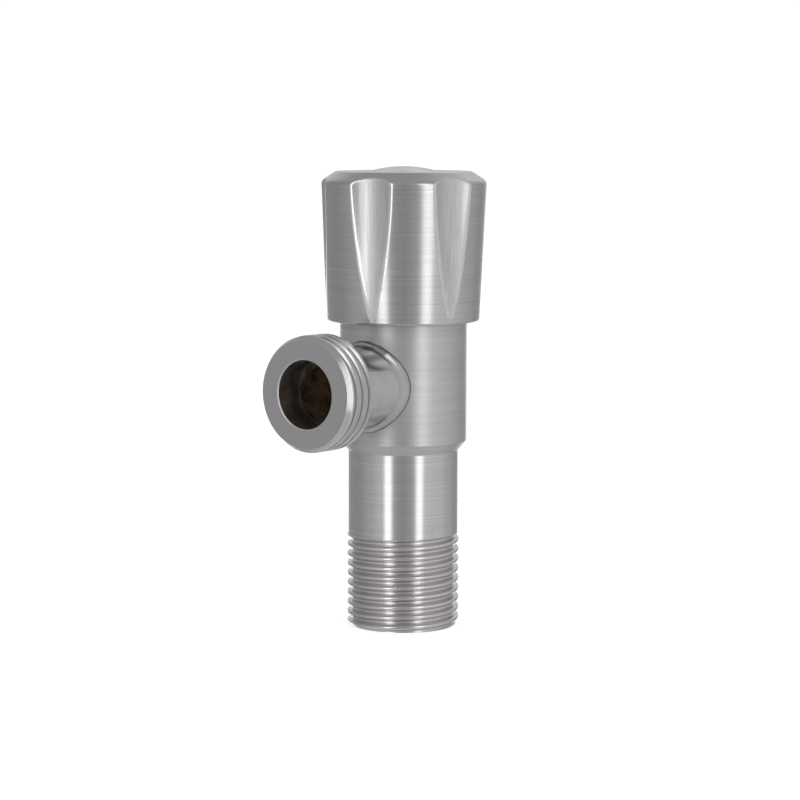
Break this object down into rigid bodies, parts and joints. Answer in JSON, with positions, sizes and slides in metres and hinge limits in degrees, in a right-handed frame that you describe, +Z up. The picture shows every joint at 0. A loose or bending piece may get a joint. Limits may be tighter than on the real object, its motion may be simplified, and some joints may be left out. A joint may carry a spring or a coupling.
{
  "type": "angle stop valve",
  "caption": "Angle stop valve with a threaded inlet below, a threaded side outlet, a quarter-turn ceramic cartridge inside and a fluted knob on top.",
  "frame": {"origin": "centre of the inlet's end face, on the valve's axis", "axes": "+Z up the valve's axis to the handle, -Y out of the outlet, +X to the right when facing the outlet's end face"},
  "size_m": [0.0308, 0.0437, 0.085],
  "materials": {
    "body_steel": "fine brushing around the axis",
    "nipple_steel": "turned and polished",
    "weld_steel": "polished weld bead",
    "handle_steel": "brushed around the axis, flutes brushed lengthways, polished edges",
    "cap_steel": "satin",
    "bright_steel": "bright",
    "brass": "turned",
    "ceramic": "lapped",
    "rubber": "matte",
    "nylon": "moulded"
  },
  "bodies": {
    "body": {"valve_body": "body_steel", "outlet_nipple": "nipple_steel", "outlet_weld": "weld_steel", "cartridge_body": "brass", "bonnet_gasket": "rubber", "seat_seal": "rubber", "seal_support_ring": "nylon", "fixed_disc": "ceramic", "thrust_washer": "nylon"},
    "handle": {"handle_shell": "handle_steel", "handle_insert": "nylon", "handle_screw": "bright_steel", "lock_washer": "bright_steel", "handle_cap": "cap_steel", "spindle": "brass", "spindle_oring_lower": "rubber", "spindle_oring_upper": "rubber", "stop_washer": "brass", "retaining_clip": "bright_steel", "moving_disc": "ceramic"}
  },
  "joints": [
    {"name": "handle_turn", "type": "hinge", "parent": "body", "child": "handle", "pos_m": [0, 0, 0.06], "axis": [0, 0, 1], "range_deg": [0, 90]}
  ]
}
